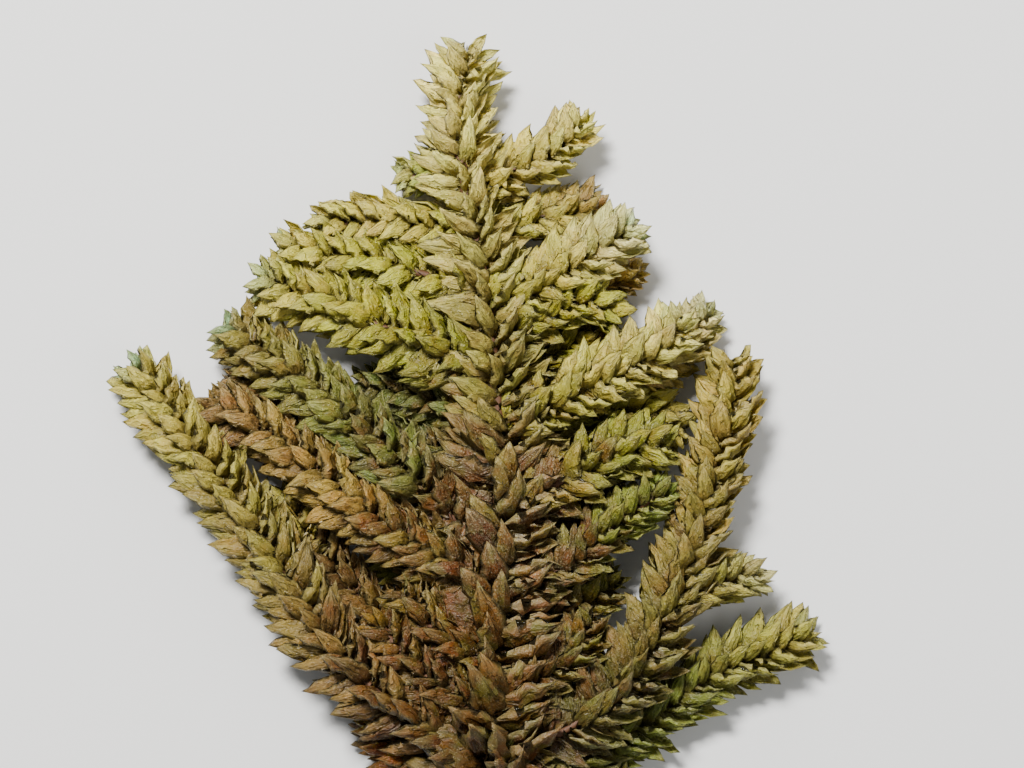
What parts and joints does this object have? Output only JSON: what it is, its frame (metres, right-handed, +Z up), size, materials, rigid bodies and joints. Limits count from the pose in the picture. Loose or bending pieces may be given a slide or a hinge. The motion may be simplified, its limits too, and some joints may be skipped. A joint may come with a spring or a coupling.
{
  "type": "dried frond of the moss calyptothecium duplicatum",
  "caption": "Dried pinnate moss frond lying flat: a leafy main stem with leafy branches on both sides, clad in overlapping pointed leaves.",
  "frame": {"origin": "on the flat underside of the bare foot of the main stem, where the foot rests on the surface", "axes": "+Y up the frond from its foot to its apex, +X to the right when its front is seen, +Z up from the surface, towards the viewer of the front"},
  "size_m": [0.0415, 0.0508, 0.0051],
  "materials": {
    "leaves_ochre": "satin",
    "leaves_olive": "satin",
    "leaves_pale_green": "satin",
    "leaves_rust": "satin",
    "leaves_shade_green": "satin",
    "leaves_straw": "satin",
    "leaves_yellow_green": "satin"
  },
  "bodies": {
    "root": {"main_stem": "leaves_olive", "branch_left_4": "leaves_yellow_green", "branch_right_3": "leaves_straw", "branch_right_6": "leaves_olive", "branch_right_5": "leaves_yellow_green", "branch_left_5": "leaves_shade_green", "branch_left_6": "leaves_ochre", "branch_left_9": "leaves_straw", "branch_right_10": "leaves_straw", "branch_left_3": "leaves_straw", "branch_left_2": "leaves_straw", "branch_left_1": "leaves_olive", "branch_right_1": "leaves_straw", "branch_right_2": "leaves_ochre", "branch_right_4": "leaves_yellow_green", "branch_right_7": "leaves_olive", "branch_left_8": "leaves_rust", "branch_left_8_lower": "leaves_rust", "branch_right_9": "leaves_olive", "branch_left_4_lower": "leaves_shade_green", "branch_left_5_upper": "leaves_shade_green", "branch_right_3_behind": "leaves_rust", "branch_right_4_lower": "leaves_olive", "branch_right_5_lower": "leaves_yellow_green", "branch_right_6_lower": "leaves_rust", "branch_left_7": "leaves_olive", "branch_left_7_lower": "leaves_rust", "branch_right_8": "leaves_olive", "branch_left_10": "leaves_rust", "branch_right_11": "leaves_pale_green", "branch_right_12": "leaves_shade_green", "branchlet_left_9": "leaves_ochre", "branchlet_left_6": "leaves_rust", "branchlet_right_10": "leaves_straw", "branchlet_right_5": "leaves_straw"}
  },
  "joints": []
}
